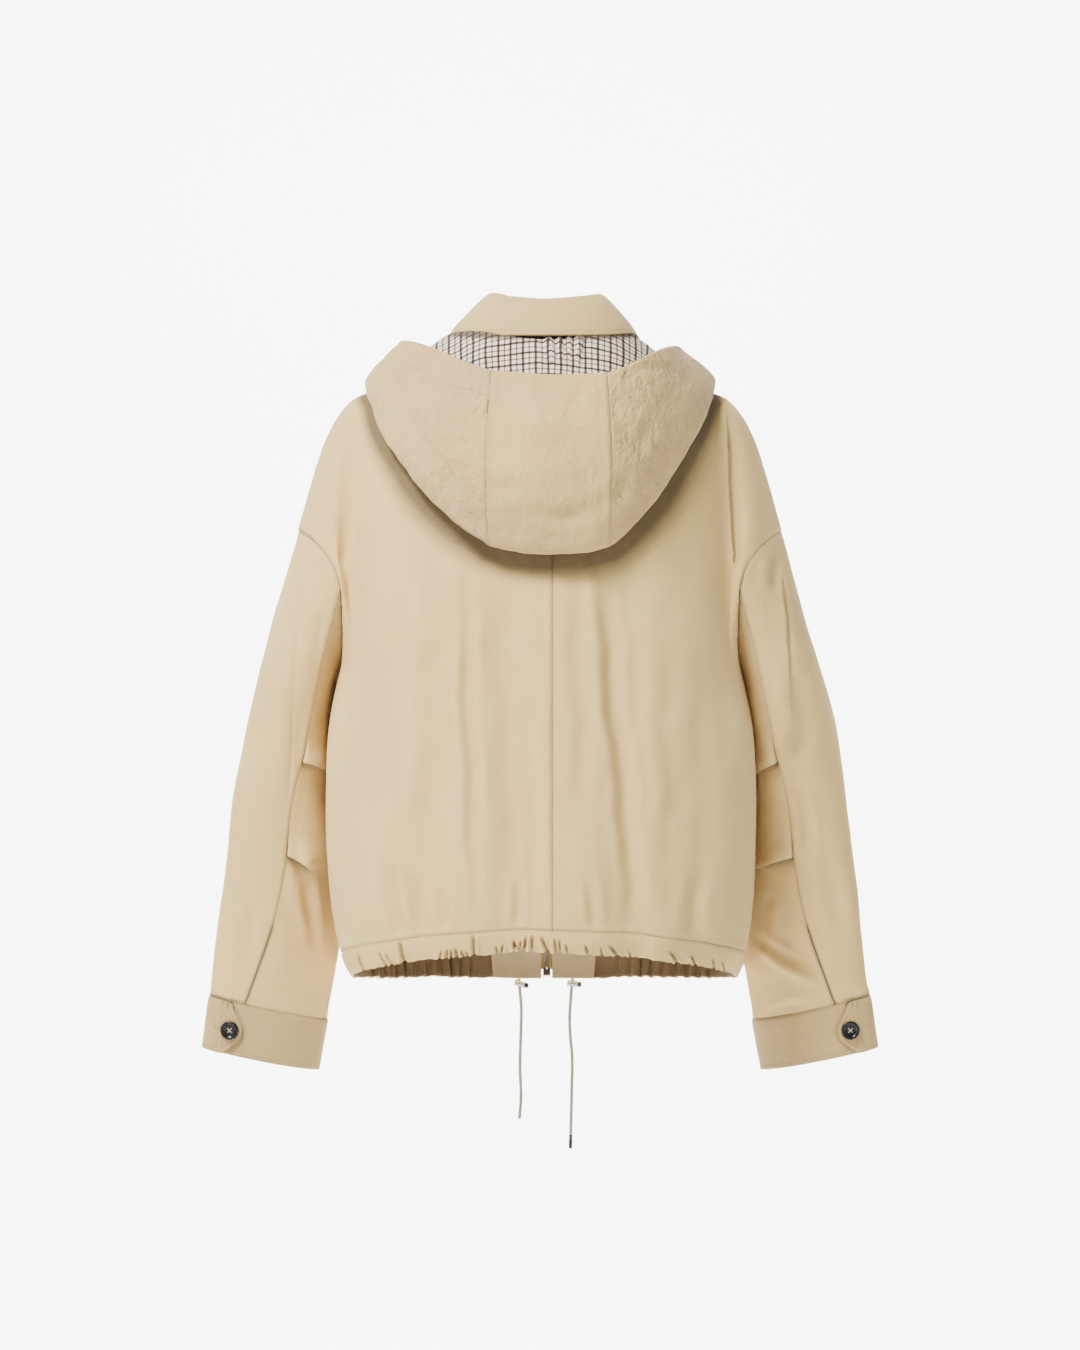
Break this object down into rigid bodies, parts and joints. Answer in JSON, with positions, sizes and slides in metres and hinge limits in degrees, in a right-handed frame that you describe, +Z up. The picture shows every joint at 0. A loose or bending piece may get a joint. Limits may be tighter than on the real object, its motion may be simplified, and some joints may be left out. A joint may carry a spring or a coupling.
{
  "type": "hooded jacket",
  "caption": "Cropped cotton zip jacket with a shirt collar, a lined hood lying open on the back, tucked sleeves with buttoned cuffs and a gathered hem with a drawcord.",
  "frame": {"origin": "middle of the neck, at the height where the shoulder seams meet the collar: the jacket hangs from the shoulders there", "axes": "+Z up, +X the wearer's left, +Y the wearer's back; the front faces -Y"},
  "size_m": [0.6612, 0.3133, 0.8309],
  "materials": {
    "cotton_shell": "matte cotton",
    "check_lining": "matte woven check",
    "dark_button": "gloss",
    "zip_tape": "matte woven tape",
    "pale_metal": "satin",
    "dark_metal": "satin",
    "cord": "matte round cord"
  },
  "bodies": {
    "jacket": {"back_left": "cotton_shell", "back_right": "cotton_shell", "button_left": "dark_button", "button_right": "dark_button", "casing_back": "cotton_shell", "casing_front_left": "cotton_shell", "casing_front_right": "cotton_shell", "collar_fall": "cotton_shell", "collar_stand": "cotton_shell", "cord_left": "cord", "cord_lock_button_left": "dark_metal", "cord_lock_button_right": "dark_metal", "cord_lock_left": "pale_metal", "cord_lock_right": "pale_metal", "cord_right": "cord", "cord_tip_right": "dark_metal", "cuff_left": "cotton_shell", "cuff_right": "cotton_shell", "facing_left": "cotton_shell", "facing_right": "cotton_shell", "front_left": "cotton_shell", "front_right": "cotton_shell", "hood_left": "cotton_shell", "hood_lining": "check_lining", "hood_middle": "cotton_shell", "hood_right": "cotton_shell", "top_sleeve_left": "cotton_shell", "top_sleeve_right": "cotton_shell", "under_sleeve_left": "cotton_shell", "under_sleeve_right": "cotton_shell", "zip_box": "pale_metal", "zip_slider": "pale_metal", "zip_tape_left": "zip_tape", "zip_tape_right": "zip_tape"},
    "pull": {"zip_pull": "pale_metal"}
  },
  "joints": [
    {"name": "pull_hinge", "type": "hinge", "parent": "jacket", "child": "pull", "pos_m": [-0.0068, -0.10436, -0.09515], "axis": [-1, 0, 0], "range_deg": [0, 150]}
  ]
}
